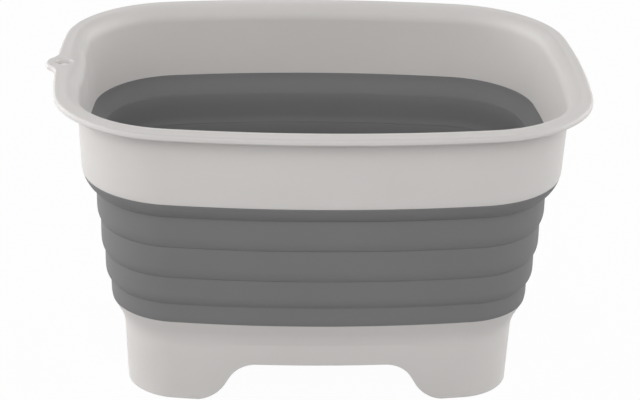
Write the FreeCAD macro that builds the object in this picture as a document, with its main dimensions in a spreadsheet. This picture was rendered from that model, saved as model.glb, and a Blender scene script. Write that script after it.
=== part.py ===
"""Folding washing up bowl: rigid rim and footed base joined by a soft wall of stepped bands.

Millimetres, +Z up, origin on the ground under the middle of the bowl.
Every ring is a section swept along one outline of eight tangent arcs. A section is written in
insets, measured inwards from the rim's outer edge, and in heights above the ground.
"""
import FreeCAD, Part
import math
import os
import re

import Sketcher

SIZES = [
    # Rim outline, seen from above
    ("rim_length", "384"),
    ("rim_width", "304"),
    ("long_side_radius", "820"),
    ("short_side_radius", "750"),
    ("corner_radius", "90"),
    # Arches between the feet
    ("arch_height", "30.9"),
    ("long_arch_half", "46.3"),
    ("short_arch_half", "16"),
    ("arch_top_radius", "22.3"),
    ("arch_foot_radius", "28"),
    ("arch_slope_deg", "60"),
    # Base, from the ground up
    ("base_wall", "2.4"),
    ("floor_lift", "5.1"),
    ("floor_thickness", "2.4"),
    ("floor_round", "8"),
    ("tray_wall_rise", "5.1"),
    ("collar_rise", "16.1"),
    ("tongue_thickness", "1.4"),
    ("tongue_height", "4.8"),
    # Soft wall and rim, each height above the one before
    ("lower_cuff_rise", "14.2"),
    ("band_3_rise", "22.5"),
    ("band_2_rise", "24.5"),
    ("band_1_rise", "24.1"),
    ("shoulder_rise", "18.9"),
    ("rim_rise", "53.2"),
    # Insets from the rim's edge, each further in than the one before
    ("rim_top_inset", "16.1"),
    ("rim_taper", "2.3"),
    ("shoulder_step", "10.3"),
    ("band_1_ledge", "0.4"),
    ("band_2_ledge", "0.5"),
    ("band_3_ledge", "1.7"),
    ("collar_step", "1.4"),
    ("collar_taper", "7.9"),
    ("skirt_taper", "2"),
    # Soft wall
    ("band_wall", "1.5"),
    ("band_flare", "0.7"),
    ("band_round_drop", "9"),
    ("band_tuck", "2.6"),
    ("hinge_gap", "0.3"),
    ("bond_gap", "0.05"),
    ("cuff_round_drop", "5.8"),
    # Rim frame
    ("rim_wall", "2.4"),
    ("rim_top_wall", "4"),
    ("rim_edge_drop", "6.1"),
    ("rim_lap", "3.6"),
    ("flange_thickness", "2.6"),
    ("lip_height", "4.4"),
    ("lip_thickness", "3"),
    ("lip_round", "2.2"),
    ("rim_inner_round", "11"),
    ("flange_under_round", "3"),
    # Hang tab on the rim
    ("hang_hole_radius", "6"),
    ("hang_hole_inset", "6"),
    ("tab_reach", "5.3"),
    ("tab_blend_radius", "12"),
    ("tab_margin", "5"),
    ("tab_sink", "0.5"),
    # Drain and its plug
    ("drain_radius", "20"),
    ("spigot_wall", "3.5"),
    ("spigot_depth", "8"),
    ("plug_rest_gap", "0.3"),
    ("plug_flange_cover", "6"),
    ("plug_flange_thickness", "2.6"),
    ("plug_flange_round", "1.2"),
    ("plug_body_depth", "9"),
    ("plug_wall", "2.2"),
    ("grip_half_length", "17"),
    ("grip_height", "13"),
    ("grip_thickness", "5"),
    ("grip_end_round", "8"),
    ("seal_band", "1.2"),
    ("seal_lip", "1.3"),
    ("seal_top_drop", "1.4"),
    ("seal_lip_height", "2.4"),
    ("seal_gap", "0.3"),
    # Cuts run this far past what they cut
    ("cut_overrun", "0.6"),
    # Heights and insets that follow from the sizes above
    ("floor_height", "=arch_height + floor_lift + floor_thickness"),
    ("skirt_top_height", "=floor_height + floor_round + tray_wall_rise"),
    ("base_height", "=skirt_top_height + collar_rise"),
    ("crease_4_height", "=base_height + lower_cuff_rise"),
    ("crease_3_height", "=crease_4_height + band_3_rise"),
    ("crease_2_height", "=crease_3_height + band_2_rise"),
    ("crease_1_height", "=crease_2_height + band_1_rise"),
    ("shoulder_height", "=crease_1_height + shoulder_rise"),
    ("rim_edge_height", "=shoulder_height - rim_edge_drop"),
    ("bowl_height", "=shoulder_height + rim_rise"),
    ("rim_foot_inset", "=rim_top_inset + rim_taper"),
    ("band_1_inset", "=rim_foot_inset + shoulder_step"),
    ("band_2_inset", "=band_1_inset + band_wall + band_flare + band_1_ledge"),
    ("band_3_inset", "=band_2_inset + band_wall + band_flare + band_2_ledge"),
    ("lower_cuff_inset", "=band_3_inset + band_wall + band_flare + band_3_ledge"),
    ("collar_inset", "=lower_cuff_inset + collar_step"),
    ("skirt_top_inset", "=collar_inset + collar_taper"),
    ("foot_inset", "=skirt_top_inset + skirt_taper"),
    ("plug_body_radius", "=drain_radius - seal_gap - seal_lip - seal_band - bond_gap"),
    ("plug_flange_radius", "=drain_radius + plug_flange_cover"),
]

doc = FreeCAD.newDocument("washing_up_bowl")
sheet = doc.addObject("Spreadsheet::Sheet", "sizes")
for row, (alias, text) in enumerate(SIZES, start=1):
    sheet.set(f"A{row}", alias)
    sheet.set(f"B{row}", text)
    sheet.setAlias(f"B{row}", alias)
doc.recompute()
ALIASES = {alias for alias, _ in SIZES}
WORD = re.compile(r"[a-z][a-z_0-9]*")


def value(expression):
    """Number that an expression in sheet names stands for."""
    return float(sheet.evalExpression(expression))


def linked(expression):
    """The expression with each sheet name written as a reference to the sheet."""
    return WORD.sub(lambda m: f"sizes.{m.group()}" if m.group() in ALIASES else m.group(), expression)


def new_body(label):
    """An empty body whose label names the sub-part."""
    body = doc.addObject("PartDesign::Body", label)
    body.Label = label
    return body


def new_sketch(body, name, role, height=None):
    """A sketch on one of the body's own origin planes, lifted to a height where one is given."""
    sketch = body.newObject("Sketcher::SketchObject", name)
    plane = next(f for f in body.Origin.OriginFeatures if f.Role == role)
    sketch.AttachmentSupport = (plane, [""])
    sketch.MapMode = "FlatFace"
    if height is not None:
        sketch.setExpression("AttachmentOffset.Base.z", linked(height))
    return sketch


def bound(sketch, kind, *where_and_expression):
    """Add a constraint whose size follows the sheet."""
    *where, expression = where_and_expression
    index = sketch.addConstraint(Sketcher.Constraint(kind, *where, value(expression)))
    sketch.setExpression(f"Constraints[{index}]", linked(expression))


def pinned(sketch, geometry, position, x, y):
    """Hold a point of a sketch at coordinates that follow the sheet."""
    for kind, axis, expression in (("DistanceX", -2, x), ("DistanceY", -1, y)):
        if expression == "0":
            sketch.addConstraint(Sketcher.Constraint("PointOnObject", geometry, position, axis))
        else:
            bound(sketch, kind, -1, 1, geometry, position, expression)


def arc_between(start, end, radius, left):
    """Arc under a half circle between two points, its centre left or right of the way from start."""
    along = end - start
    half = along.Length / 2
    side = FreeCAD.Vector(-along.y, along.x, 0).normalize()
    rise = math.sqrt(max(radius**2 - half**2, 0))
    centre = (start + end) / 2 + side * (rise if left else -rise)
    first, last = (start, end) if left else (end, start)
    angles = [math.atan2(p.y - centre.y, p.x - centre.x) for p in (first, last)]
    circle = Part.Circle(centre, FreeCAD.Vector(0, 0, 1), radius)
    return Part.ArcOfCircle(circle, angles[0], angles[1])


def loop(sketch, corners):
    """Closed outline through corners.

    A corner is (x, y), or (x, y, radius, left) where an arc runs from it to the next corner.
    """
    points = [FreeCAD.Vector(value(c[0]), value(c[1]), 0) for c in corners]
    ends = []
    for number, corner in enumerate(corners):
        start, end = points[number], points[(number + 1) % len(points)]
        if len(corner) == 2:
            sketch.addGeometry(Part.LineSegment(start, end), False)
            ends.append((1, 2))
        else:
            sketch.addGeometry(arc_between(start, end, value(corner[2]), corner[3]), False)
            ends.append((1, 2) if corner[3] else (2, 1))
    for number, corner in enumerate(corners):
        after = (number + 1) % len(corners)
        joint = Sketcher.Constraint("Coincident", number, ends[number][1], after, ends[after][0])
        sketch.addConstraint(joint)
        pinned(sketch, number, ends[number][0], corner[0], corner[1])
        if len(corner) == 4:
            bound(sketch, "Radius", number, corner[2])
    return sketch


def outline(body, name, inset, height=None):
    """The bowl's outline at an inset: eight tangent arcs about two axes of symmetry."""
    sketch = new_sketch(body, name, "XY_Plane", height)
    long_radius = value(f"long_side_radius - ({inset})")
    short_radius = value(f"short_side_radius - ({inset})")
    round_radius = value(f"corner_radius - ({inset})")
    long_back = value("long_side_radius - rim_width / 2")
    short_back = value("short_side_radius - rim_length / 2")
    span = math.hypot(long_back, short_back)
    to_long, to_short = long_radius - round_radius, short_radius - round_radius
    lean = math.acos((to_short**2 + span**2 - to_long**2) / (2 * to_short * span))
    short_angle = lean - math.atan2(long_back, short_back)
    corner_x = to_short * math.cos(short_angle) - short_back
    corner_y = to_short * math.sin(short_angle)
    long_angle = math.atan2(corner_y + long_back, corner_x)
    turn = math.pi
    arcs = [
        (-short_back, 0, short_radius, -short_angle, short_angle),
        (corner_x, corner_y, round_radius, short_angle, long_angle),
        (0, -long_back, long_radius, long_angle, turn - long_angle),
        (-corner_x, corner_y, round_radius, turn - long_angle, turn - short_angle),
        (short_back, 0, short_radius, turn - short_angle, turn + short_angle),
        (-corner_x, -corner_y, round_radius, turn + short_angle, turn + long_angle),
        (0, long_back, long_radius, turn + long_angle, 2 * turn - long_angle),
        (corner_x, -corner_y, round_radius, 2 * turn - long_angle, 2 * turn - short_angle),
    ]
    for x, y, radius, first, last in arcs:
        circle = Part.Circle(FreeCAD.Vector(x, y, 0), FreeCAD.Vector(0, 0, 1), radius)
        sketch.addGeometry(Part.ArcOfCircle(circle, first, last), False)
    for number in range(len(arcs)):
        after = (number + 1) % len(arcs)
        sketch.addConstraint(Sketcher.Constraint("Tangent", number, 2, after, 1))
    for first, second in ((1, 3), (1, 5), (1, 7), (0, 4), (2, 6)):
        sketch.addConstraint(Sketcher.Constraint("Equal", first, second))
    bound(sketch, "Radius", 0, f"short_side_radius - ({inset})")
    bound(sketch, "Radius", 1, f"corner_radius - ({inset})")
    bound(sketch, "Radius", 2, f"long_side_radius - ({inset})")
    for number, axis in ((0, -1), (4, -1), (2, -2), (6, -2)):
        sketch.addConstraint(Sketcher.Constraint("PointOnObject", number, 3, axis))
    bound(sketch, "DistanceX", 0, 3, -1, 1, "short_side_radius - rim_length / 2")
    bound(sketch, "DistanceX", -1, 1, 4, 3, "short_side_radius - rim_length / 2")
    bound(sketch, "DistanceY", 2, 3, -1, 1, "long_side_radius - rim_width / 2")
    bound(sketch, "DistanceY", -1, 1, 6, 3, "long_side_radius - rim_width / 2")
    return sketch


def ring(label, section):
    """A body swept round the outline from a section of (inset, height, ...) corners."""
    body = new_body(label)
    path = outline(body, f"{label}_path", "0")
    profile = new_sketch(body, f"{label}_section", "XZ_Plane")
    loop(profile, [(f"rim_length / 2 - ({c[0]})", *c[1:]) for c in section])
    pipe = body.newObject("PartDesign::AdditivePipe", f"{label}_sweep")
    pipe.Profile = profile
    pipe.Spine = path
    doc.recompute()
    return body


def pad(body, sketch, name, length, both_ways=False):
    """Pad a sketch by a length, upwards or to both sides of its plane."""
    feature = body.newObject("PartDesign::Pad", name)
    feature.Profile = sketch
    feature.Midplane = both_ways
    feature.setExpression("Length", linked(length))
    doc.recompute()
    return feature


def pocket(body, sketch, name, length, both_ways=False):
    """Cut a sketch down from its plane, or to both sides of it, and make sure that it cut."""
    before = body.Shape.Volume
    feature = body.newObject("PartDesign::Pocket", name)
    feature.Profile = sketch
    feature.Midplane = both_ways
    feature.setExpression("Length", linked(length))
    doc.recompute()
    if body.Shape.Volume >= before:
        raise RuntimeError(f"{name} cut nothing")
    return feature


def disc(body, name, x, radius, height):
    """Sketch of one circle on the long axis of symmetry, at a height."""
    sketch = new_sketch(body, name, "XY_Plane", height)
    centre = FreeCAD.Vector(value(x), 0, 0)
    sketch.addGeometry(Part.Circle(centre, FreeCAD.Vector(0, 0, 1), value(radius)), False)
    bound(sketch, "Radius", 0, radius)
    pinned(sketch, 0, 3, x, "0")
    return sketch


def turned(label, section):
    """A body of revolution about the upright axis from a section of (radius, height, ...) corners."""
    body = new_body(label)
    profile = loop(new_sketch(body, f"{label}_section", "XZ_Plane"), section)
    feature = body.newObject("PartDesign::Revolution", f"{label}_turn")
    feature.Profile = profile
    feature.ReferenceAxis = (profile, ["V_Axis"])
    doc.recompute()
    return body


# Rounding that leads from one ring to the next: an arc, upright where it starts
def round_radius(drop, inset):
    """Radius of an arc that starts upright and moves inwards by an inset over a drop."""
    return f"((({drop})^2 + ({inset})^2) / (2 * ({inset})))"


def arc_inset(start, radius, drop):
    """Inset reached at a drop below the upright start of an arc."""
    return f"({start} + {radius} - sqrt(({radius})^2 - ({drop})^2))"


# Rim frame and the cuff of the wall that is bonded to it
SHOULDER_DROP = "(shoulder_height - crease_1_height)"
SHOULDER_INSET = "(band_1_inset - hinge_gap - rim_foot_inset)"
SHOULDER_RADIUS = round_radius(SHOULDER_DROP, SHOULDER_INSET)
LAP_HEIGHT = "(rim_edge_height + rim_lap)"


def shoulder(depth, height):
    """Inset of the shoulder at a depth into its wall and a height, and the arc's radius there."""
    radius = f"({SHOULDER_RADIUS} - ({depth}))"
    start = f"(rim_foot_inset + {depth})"
    return arc_inset(start, radius, f"shoulder_height - ({height})"), radius


def rim_frame():
    """Rigid rim: tapered wall, rolled flange with a lip, and a tab with the hang hole."""
    inner_top = "rim_top_inset + rim_top_wall"
    wall_in, wall_in_radius = shoulder("rim_wall", LAP_HEIGHT)
    lap_top, lap_radius = shoulder("rim_wall / 2", LAP_HEIGHT)
    lap_end, _ = shoulder("rim_wall / 2", "rim_edge_height")
    edge, edge_radius = shoulder("0", "rim_edge_height")
    under = "bowl_height - flange_thickness"
    body = ring("rim_frame", [
        ("0", "bowl_height - lip_height"),
        ("0", "bowl_height - lip_round", "lip_round", True),
        ("lip_round", "bowl_height"),
        (f"{inner_top} - rim_inner_round", "bowl_height", "rim_inner_round", True),
        (inner_top, "bowl_height - rim_inner_round"),
        ("rim_foot_inset + rim_wall", "shoulder_height", wall_in_radius, False),
        (wall_in, LAP_HEIGHT),
        (lap_top, LAP_HEIGHT, lap_radius, False),
        (lap_end, "rim_edge_height"),
        (edge, "rim_edge_height", edge_radius, True),
        ("rim_foot_inset", "shoulder_height"),
        ("rim_top_inset", f"{under} - flange_under_round", "flange_under_round", False),
        ("rim_top_inset - flange_under_round", under),
        ("lip_thickness", under),
        ("lip_thickness", "bowl_height - lip_height"),
    ])
    tab = new_sketch(body, "tab_outline", "XY_Plane", "bowl_height - lip_height")
    lobe = "(tab_reach + hang_hole_inset)"
    across = "(hang_hole_inset + tab_blend_radius - tab_sink)"
    reach = f"({lobe} + tab_blend_radius)"
    aside = f"sqrt({reach}^2 - {across}^2)"
    centre = "(hang_hole_inset - rim_length / 2)"
    meet_x = f"{centre} - {lobe} * {across} / {reach}"
    meet_y = f"{lobe} * {aside} / {reach}"
    edge_x = "tab_sink - rim_length / 2"
    inner_x = f"{centre} + hang_hole_radius + tab_margin"
    loop(tab, [
        (edge_x, aside, "tab_blend_radius", False),
        (meet_x, meet_y, lobe, True),
        (meet_x, f"-{meet_y}", "tab_blend_radius", False),
        (edge_x, f"-{aside}"),
        (inner_x, f"-{aside}"),
        (inner_x, aside),
    ])
    pad(body, tab, "hang_tab", "lip_height")
    hole = disc(body, "hang_hole_circle", centre, "hang_hole_radius", "bowl_height + cut_overrun")
    pocket(body, hole, "hang_hole", "lip_height + 2 * cut_overrun")


def upper_cuff():
    """Soft shoulder under the rim, lapped inside the rim's lower edge."""
    outer, outer_radius = shoulder("0", "rim_edge_height - bond_gap")
    lap_low, lap_radius = shoulder("(rim_wall / 2 + bond_gap)", "rim_edge_height - bond_gap")
    lap_high, _ = shoulder("(rim_wall / 2 + bond_gap)", f"{LAP_HEIGHT} - bond_gap")
    inner, inner_radius = shoulder("rim_wall", f"{LAP_HEIGHT} - bond_gap")
    end = "band_1_inset - hinge_gap"
    rise = f"sqrt(({inner_radius})^2 - ({SHOULDER_RADIUS} - {SHOULDER_INSET})^2)"
    ring("upper_cuff", [
        (outer, "rim_edge_height - bond_gap", outer_radius, False),
        (end, "crease_1_height"),
        (end, f"shoulder_height - {rise}", inner_radius, True),
        (inner, f"{LAP_HEIGHT} - bond_gap"),
        (lap_high, f"{LAP_HEIGHT} - bond_gap", lap_radius, False),
        (lap_low, "rim_edge_height - bond_gap"),
    ])


# Loose bands of the wall: each flares slightly, then rounds in to the crease below it
def band_faces(inset, top, bulge):
    """Flare of a band above its bulge: the two top corners and the two radii."""
    climb = f"({top} - ({bulge}))"
    outer_radius = round_radius(climb, "band_flare")
    inner_radius = f"({outer_radius} - band_wall)"
    outer_top = f"({inset} + band_flare)"
    inner_top = arc_inset(f"({inset} + band_wall)", inner_radius, climb)
    return outer_top, inner_top, outer_radius, inner_radius


def wall_band(label, inset, next_inset, upper_crease, crease):
    """One loose band, its lower edge rounded in to stop a hinge gap short of the next band."""
    top = f"({upper_crease} + band_tuck)"
    bulge = f"({crease} + band_round_drop)"
    outer_top, inner_top, flare, inner_flare = band_faces(inset, top, bulge)
    step = f"({next_inset} - hinge_gap - {inset})"
    curl = round_radius("band_round_drop", step)
    rise = f"sqrt(({curl} - band_wall)^2 - ({curl} - {step})^2)"
    ring(label, [
        (outer_top, top, flare, False),
        (inset, bulge, curl, False),
        (f"{inset} + {step}", crease),
        (f"{inset} + {step}", f"{bulge} - {rise}", f"({curl} - band_wall)", True),
        (f"{inset} + band_wall", bulge, inner_flare, True),
        (inner_top, top),
    ])


def lower_cuff():
    """Lowest band, bonded to the base's collar."""
    top = "(crease_4_height + band_tuck)"
    bulge = "(base_height + cuff_round_drop)"
    outer_top, inner_top, flare, inner_flare = band_faces("lower_cuff_inset", top, bulge)
    curl = round_radius("cuff_round_drop", "(collar_inset - lower_cuff_inset)")
    inner_foot = arc_inset("(lower_cuff_inset + band_wall)", f"({curl} - band_wall)", "cuff_round_drop")
    ring("lower_cuff", [
        (outer_top, top, flare, False),
        ("lower_cuff_inset", bulge, curl, False),
        ("collar_inset", "base_height"),
        (inner_foot, "base_height", f"({curl} - band_wall)", True),
        ("lower_cuff_inset + band_wall", bulge, inner_flare, True),
        (inner_top, top),
    ])
    return inner_foot


def arch(body, name, role, half_width, length):
    """Arched gap between two feet, cut through opposite sides of the skirt."""
    sketch = new_sketch(body, f"{name}_outline", role)
    low = "(0 - cut_overrun)"
    top_run = "arch_top_radius * sin(arch_slope_deg)"
    top_fall = "arch_top_radius * (1 - cos(arch_slope_deg))"
    foot_run = "arch_foot_radius * sin(arch_slope_deg)"
    foot_rise = "arch_foot_radius * (1 - cos(arch_slope_deg))"
    slope_run = f"(arch_height + cut_overrun - {top_fall} - {foot_rise}) / tan(arch_slope_deg)"
    bend = f"({half_width} + {top_run})"
    turn = f"({bend} + {slope_run})"
    foot = f"({turn} + {foot_run})"
    loop(sketch, [
        (foot, low, "arch_foot_radius", False),
        (turn, f"{low} + {foot_rise}"),
        (bend, f"arch_height - {top_fall}", "arch_top_radius", True),
        (half_width, "arch_height"),
        (f"-{half_width}", "arch_height", "arch_top_radius", True),
        (f"-{bend}", f"arch_height - {top_fall}"),
        (f"-{turn}", f"{low} + {foot_rise}", "arch_foot_radius", False),
        (f"-{foot}", low),
    ])
    pocket(body, sketch, name, length, both_ways=True)


# Base, one moulding in two solids: they meet where the floor's rounding runs out into the flat floor
FLOOR_START = "(skirt_top_inset + base_wall + floor_round)"
FLOOR_UNDER = "(floor_height - floor_thickness)"


def base_skirt(cuff_foot):
    """Rigid side of the base: collar, wall, rounding to the floor, and a skirt cut into four feet."""
    lean = "((skirt_top_inset - collar_inset) / (base_height - skirt_top_height))"
    cone_wall = f"(base_wall * sqrt(1 + {lean}^2))"
    draft = "((foot_inset - skirt_top_inset) / skirt_top_height)"
    land = "(base_height - bond_gap)"
    tongue_out = f"({cuff_foot} + bond_gap)"
    tongue_in = f"({tongue_out} + tongue_thickness)"
    wall_in = "(skirt_top_inset + base_wall)"
    body = ring("base_skirt", [
        ("collar_inset", land),
        (tongue_out, land),
        (tongue_out, f"{land} + tongue_height"),
        (tongue_in, f"{land} + tongue_height"),
        (tongue_in, f"{land} - ({tongue_in} - {cone_wall} - collar_inset) / {lean}"),
        (wall_in, f"{land} - ({wall_in} - {cone_wall} - collar_inset) / {lean}"),
        (wall_in, "floor_height + floor_round", "floor_round", True),
        (FLOOR_START, "floor_height"),
        (FLOOR_START, FLOOR_UNDER),
        (f"skirt_top_inset + base_wall + {draft} * (skirt_top_height - {FLOOR_UNDER})", FLOOR_UNDER),
        ("foot_inset + base_wall", "0"),
        ("foot_inset", "0"),
        ("skirt_top_inset", "skirt_top_height"),
    ])
    arch(body, "long_side_arches", "XZ_Plane", "long_arch_half", "rim_width")
    arch(body, "short_side_arches", "YZ_Plane", "short_arch_half", "rim_length")


def base_floor():
    """Flat floor of the base with the drain and its spigot."""
    body = new_body("base_floor")
    floor = outline(body, "floor_outline", f"{FLOOR_START} + bond_gap", FLOOR_UNDER)
    pad(body, floor, "floor", "floor_thickness")
    spigot = disc(body, "spigot_circle", "0", "drain_radius + spigot_wall", f"{FLOOR_UNDER} - spigot_depth")
    pad(body, spigot, "spigot", "spigot_depth + floor_thickness / 2")
    drain = disc(body, "drain_circle", "0", "drain_radius", "floor_height + cut_overrun")
    pocket(body, drain, "drain", "floor_thickness + spigot_depth + 2 * cut_overrun")


def drain_plug():
    """Push-in plug: flange on the floor, hollow body in the drain and an upright grip."""
    seat = "(floor_height + plug_rest_gap)"
    top = f"({seat} + plug_flange_thickness)"
    foot = f"({seat} - plug_body_depth)"
    body = turned("drain_plug", [
        ("0", seat),
        ("plug_body_radius - plug_wall", seat),
        ("plug_body_radius - plug_wall", foot),
        ("plug_body_radius", foot),
        ("plug_body_radius", seat),
        ("plug_flange_radius", seat),
        ("plug_flange_radius", f"{top} - plug_flange_round", "plug_flange_round", True),
        ("plug_flange_radius - plug_flange_round", top),
        ("0", top),
    ])
    grip = new_sketch(body, "grip_outline", "XZ_Plane")
    rise = f"({top} + grip_height)"
    sunk = f"({top} - plug_flange_thickness / 2)"
    loop(grip, [
        ("grip_half_length", sunk),
        ("grip_half_length", f"{rise} - grip_end_round", "grip_end_round", True),
        ("grip_half_length - grip_end_round", rise),
        ("grip_end_round - grip_half_length", rise, "grip_end_round", True),
        ("-grip_half_length", f"{rise} - grip_end_round"),
        ("-grip_half_length", sunk),
    ])
    pad(body, grip, "grip", "grip_thickness", both_ways=True)


def plug_seal():
    """Soft sleeve on the plug's body with two lips that reach the drain's wall."""
    inner = "(plug_body_radius + bond_gap)"
    band = f"({inner} + seal_band)"
    lip = "(drain_radius - seal_gap)"
    top = "(floor_height + plug_rest_gap - seal_top_drop)"
    turned("plug_seal", [
        (inner, f"{top} - 3 * seal_lip_height"),
        (band, f"{top} - 3 * seal_lip_height"),
        (lip, f"{top} - 2 * seal_lip_height"),
        (band, f"{top} - 2 * seal_lip_height"),
        (band, f"{top} - seal_lip_height"),
        (lip, top),
        (inner, top),
    ])


rim_frame()
upper_cuff()
wall_band("wall_band_1", "band_1_inset", "band_2_inset", "crease_1_height", "crease_2_height")
wall_band("wall_band_2", "band_2_inset", "band_3_inset", "crease_2_height", "crease_3_height")
wall_band("wall_band_3", "band_3_inset", "lower_cuff_inset", "crease_3_height", "crease_4_height")
base_skirt(lower_cuff())
base_floor()
drain_plug()
plug_seal()
doc.recompute()

bodies = [o for o in doc.Objects if o.TypeId == "PartDesign::Body"]
failed = [o.Label for o in doc.Objects if {"Invalid", "Error"} & set(o.State)]
failed += [b.Label for b in bodies if b.Shape.isNull() or not b.Shape.isValid() or len(b.Shape.Solids) != 1]
if failed:
    raise RuntimeError(f"not built: {', '.join(failed)}")

os.makedirs("parts", exist_ok=True)
for body in bodies:
    body.Shape.exportStep(f"parts/{body.Label}.step")
    print(body.Label, round(body.Shape.Volume), "mm3")
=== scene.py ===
"""Looks of a folding washing up bowl: smooth moulded surfaces, finishes, studio and camera.

Sections are written in millimetres as (inset, height): the inset runs inwards from the rim's outer edge
and the height up from the ground. Meshes are in metres, in the frame of the solids.
"""
from __future__ import annotations

import logging
import math
from dataclasses import dataclass, field
from enum import Enum
from typing import Sequence

import bmesh
import bpy
import numpy as np
from mathutils import Matrix, Vector

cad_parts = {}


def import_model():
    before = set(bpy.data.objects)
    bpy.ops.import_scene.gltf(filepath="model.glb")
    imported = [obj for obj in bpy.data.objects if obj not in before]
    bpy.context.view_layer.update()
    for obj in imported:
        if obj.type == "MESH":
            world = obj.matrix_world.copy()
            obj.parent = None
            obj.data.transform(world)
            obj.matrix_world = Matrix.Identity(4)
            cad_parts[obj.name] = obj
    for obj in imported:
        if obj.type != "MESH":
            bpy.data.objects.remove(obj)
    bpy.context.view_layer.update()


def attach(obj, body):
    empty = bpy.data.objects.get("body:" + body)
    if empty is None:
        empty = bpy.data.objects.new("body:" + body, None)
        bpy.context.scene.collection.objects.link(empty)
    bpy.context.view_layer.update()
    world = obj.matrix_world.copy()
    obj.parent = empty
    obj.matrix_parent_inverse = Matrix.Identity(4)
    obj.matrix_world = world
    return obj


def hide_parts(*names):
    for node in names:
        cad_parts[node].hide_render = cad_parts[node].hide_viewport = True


LOG = logging.getLogger("bowl")
MM = 0.001
MERGE_DISTANCE = 1e-6
STRAIGHT = math.radians(89.5)
IMAGE_WIDTH, IMAGE_HEIGHT = 640, 400


class Body(Enum):
    """Moving bodies of the bowl."""

    BASE = "base"
    RIM = "rim"
    BAND_1 = "band_1"
    BAND_2 = "band_2"
    BAND_3 = "band_3"
    PLUG = "plug"


class Slot(Enum):
    """Material slots of the record."""

    RIM = "rim_plastic"
    WALL = "wall_rubber"
    BASE = "base_plastic"
    PLUG = "plug_plastic"
    SEAL = "seal_rubber"


# Plan outline and sections


@dataclass(frozen=True)
class Stations:
    """Places round the outline: an arc centre, an outward direction and a radius for each."""

    centre: np.ndarray
    outward: np.ndarray
    radius: np.ndarray

    def at(self, inset: np.ndarray) -> np.ndarray:
        """Plan points at insets: centre + (radius - inset) * outward.

        Args:
            inset: Insets, one row for all stations or one row per station.

        Returns:
            Points of shape (stations, insets, 2) in millimetres.
        """
        reach = self.radius[:, None] - np.atleast_2d(inset)
        return self.centre[:, None, :] + reach[..., None] * self.outward[:, None, :]


@dataclass(frozen=True)
class Outline:
    """Plan outline of the rim's edge: eight tangent arcs about two axes of symmetry."""

    half_length: float = 192.0
    half_width: float = 152.0
    long_side_radius: float = 820.0
    short_side_radius: float = 750.0
    corner_radius: float = 90.0

    def arcs(self) -> np.ndarray:
        """The eight arcs as rows of centre x, centre y, radius, first angle and last angle.

        The corner centre lies at the distance short radius - corner radius from the short side's centre
        and at long radius - corner radius from the long side's centre.
        """
        long_back = self.long_side_radius - self.half_width
        short_back = self.short_side_radius - self.half_length
        to_long = self.long_side_radius - self.corner_radius
        to_short = self.short_side_radius - self.corner_radius
        span = math.hypot(long_back, short_back)
        lean = math.acos((to_short**2 + span**2 - to_long**2) / (2 * to_short * span))
        a = lean - math.atan2(long_back, short_back)
        x = to_short * math.cos(a) - short_back
        y = to_short * math.sin(a)
        b = math.atan2(y + long_back, x)
        turn = math.pi
        long_r, short_r, r = self.long_side_radius, self.short_side_radius, self.corner_radius
        return np.array([
            (-short_back, 0, short_r, -a, a),
            (x, y, r, a, b),
            (0, -long_back, long_r, b, turn - b),
            (-x, y, r, turn - b, turn - a),
            (short_back, 0, short_r, turn - a, turn + a),
            (-x, -y, r, turn + a, turn + b),
            (0, long_back, long_r, turn + b, 2 * turn - b),
            (x, -y, r, 2 * turn - b, 2 * turn - a),
        ])

    def stations(self, count: int, fine_at: float | None = None, fine_reach: float = 0.0,
                 fine_step: float = 1.0) -> Stations:
        """Stations evenly spaced along the edge, closer together about one place if asked.

        Args:
            count: Number of even stations.
            fine_at: Share of the way round at which stations are closer.
            fine_reach: Length of the closer stretch to each side.
            fine_step: Spacing within it.

        Returns:
            The stations in order round the outline, anticlockwise from the middle of the +X side.
        """
        arcs = self.arcs()
        lengths = arcs[:, 2] * (arcs[:, 4] - arcs[:, 3])
        ends = np.cumsum(lengths)
        shift = lengths[0] / 2
        place = np.linspace(0, ends[-1], count, endpoint=False)
        if fine_at is not None:
            middle = fine_at * ends[-1]
            fine = np.arange(middle - fine_reach, middle + fine_reach, fine_step)
            coarse = place[np.abs(place - middle) > fine_reach + fine_step / 2]
            place = np.sort(np.concatenate([coarse, fine]))
        place = (place + shift) % ends[-1]
        which = np.searchsorted(ends, place, side="right").clip(max=len(arcs) - 1)
        along = place - (ends - lengths)[which]
        angle = arcs[which, 3] + along / arcs[which, 2]
        outward = np.stack([np.cos(angle), np.sin(angle)], axis=-1)
        return Stations(arcs[which, :2], outward, arcs[which, 2])


Corner = tuple[float, float, float]
Spot = tuple[float, float]


def rounded(corners: Sequence[Corner], steps: int = 5) -> np.ndarray:
    """Closed section whose corners are arcs tangent to both their sides.

    A corner p with sides along a and b and a radius r becomes an arc about
    p + (a + b) / |a + b| * r / sin(h), h half the angle between the sides. A corner with no radius stays
    a point, and so does one whose sides lie in line.

    Args:
        corners: Rows of inset, height and radius.
        steps: Points on each arc.

    Returns:
        Points of shape (points, 2), with a pair of points near the ends of each longer straight side.
    """
    table = np.array(corners, float)
    spots = table[:, :2]
    before = np.roll(spots, 1, axis=0) - spots
    after = np.roll(spots, -1, axis=0) - spots
    before /= np.linalg.norm(before, axis=1, keepdims=True)
    after /= np.linalg.norm(after, axis=1, keepdims=True)
    parts = []
    for spot, a, b, radius in zip(spots, before, after, table[:, 2]):
        half = math.acos(float(np.clip(a @ b, -1, 1))) / 2
        if radius <= 0 or half > STRAIGHT:
            parts.append(spot[None, :])
            continue
        middle = spot + (a + b) / np.linalg.norm(a + b) * radius / math.sin(half)
        first = spot + a * radius / math.tan(half) - middle
        last = spot + b * radius / math.tan(half) - middle
        share = np.linspace(0, 1, steps)[:, None]
        sweep = math.pi - 2 * half
        arc = (np.sin((1 - share) * sweep) * first + np.sin(share * sweep) * last) / math.sin(sweep)
        parts.append(middle + arc)
    return supported(np.concatenate(parts))


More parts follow.
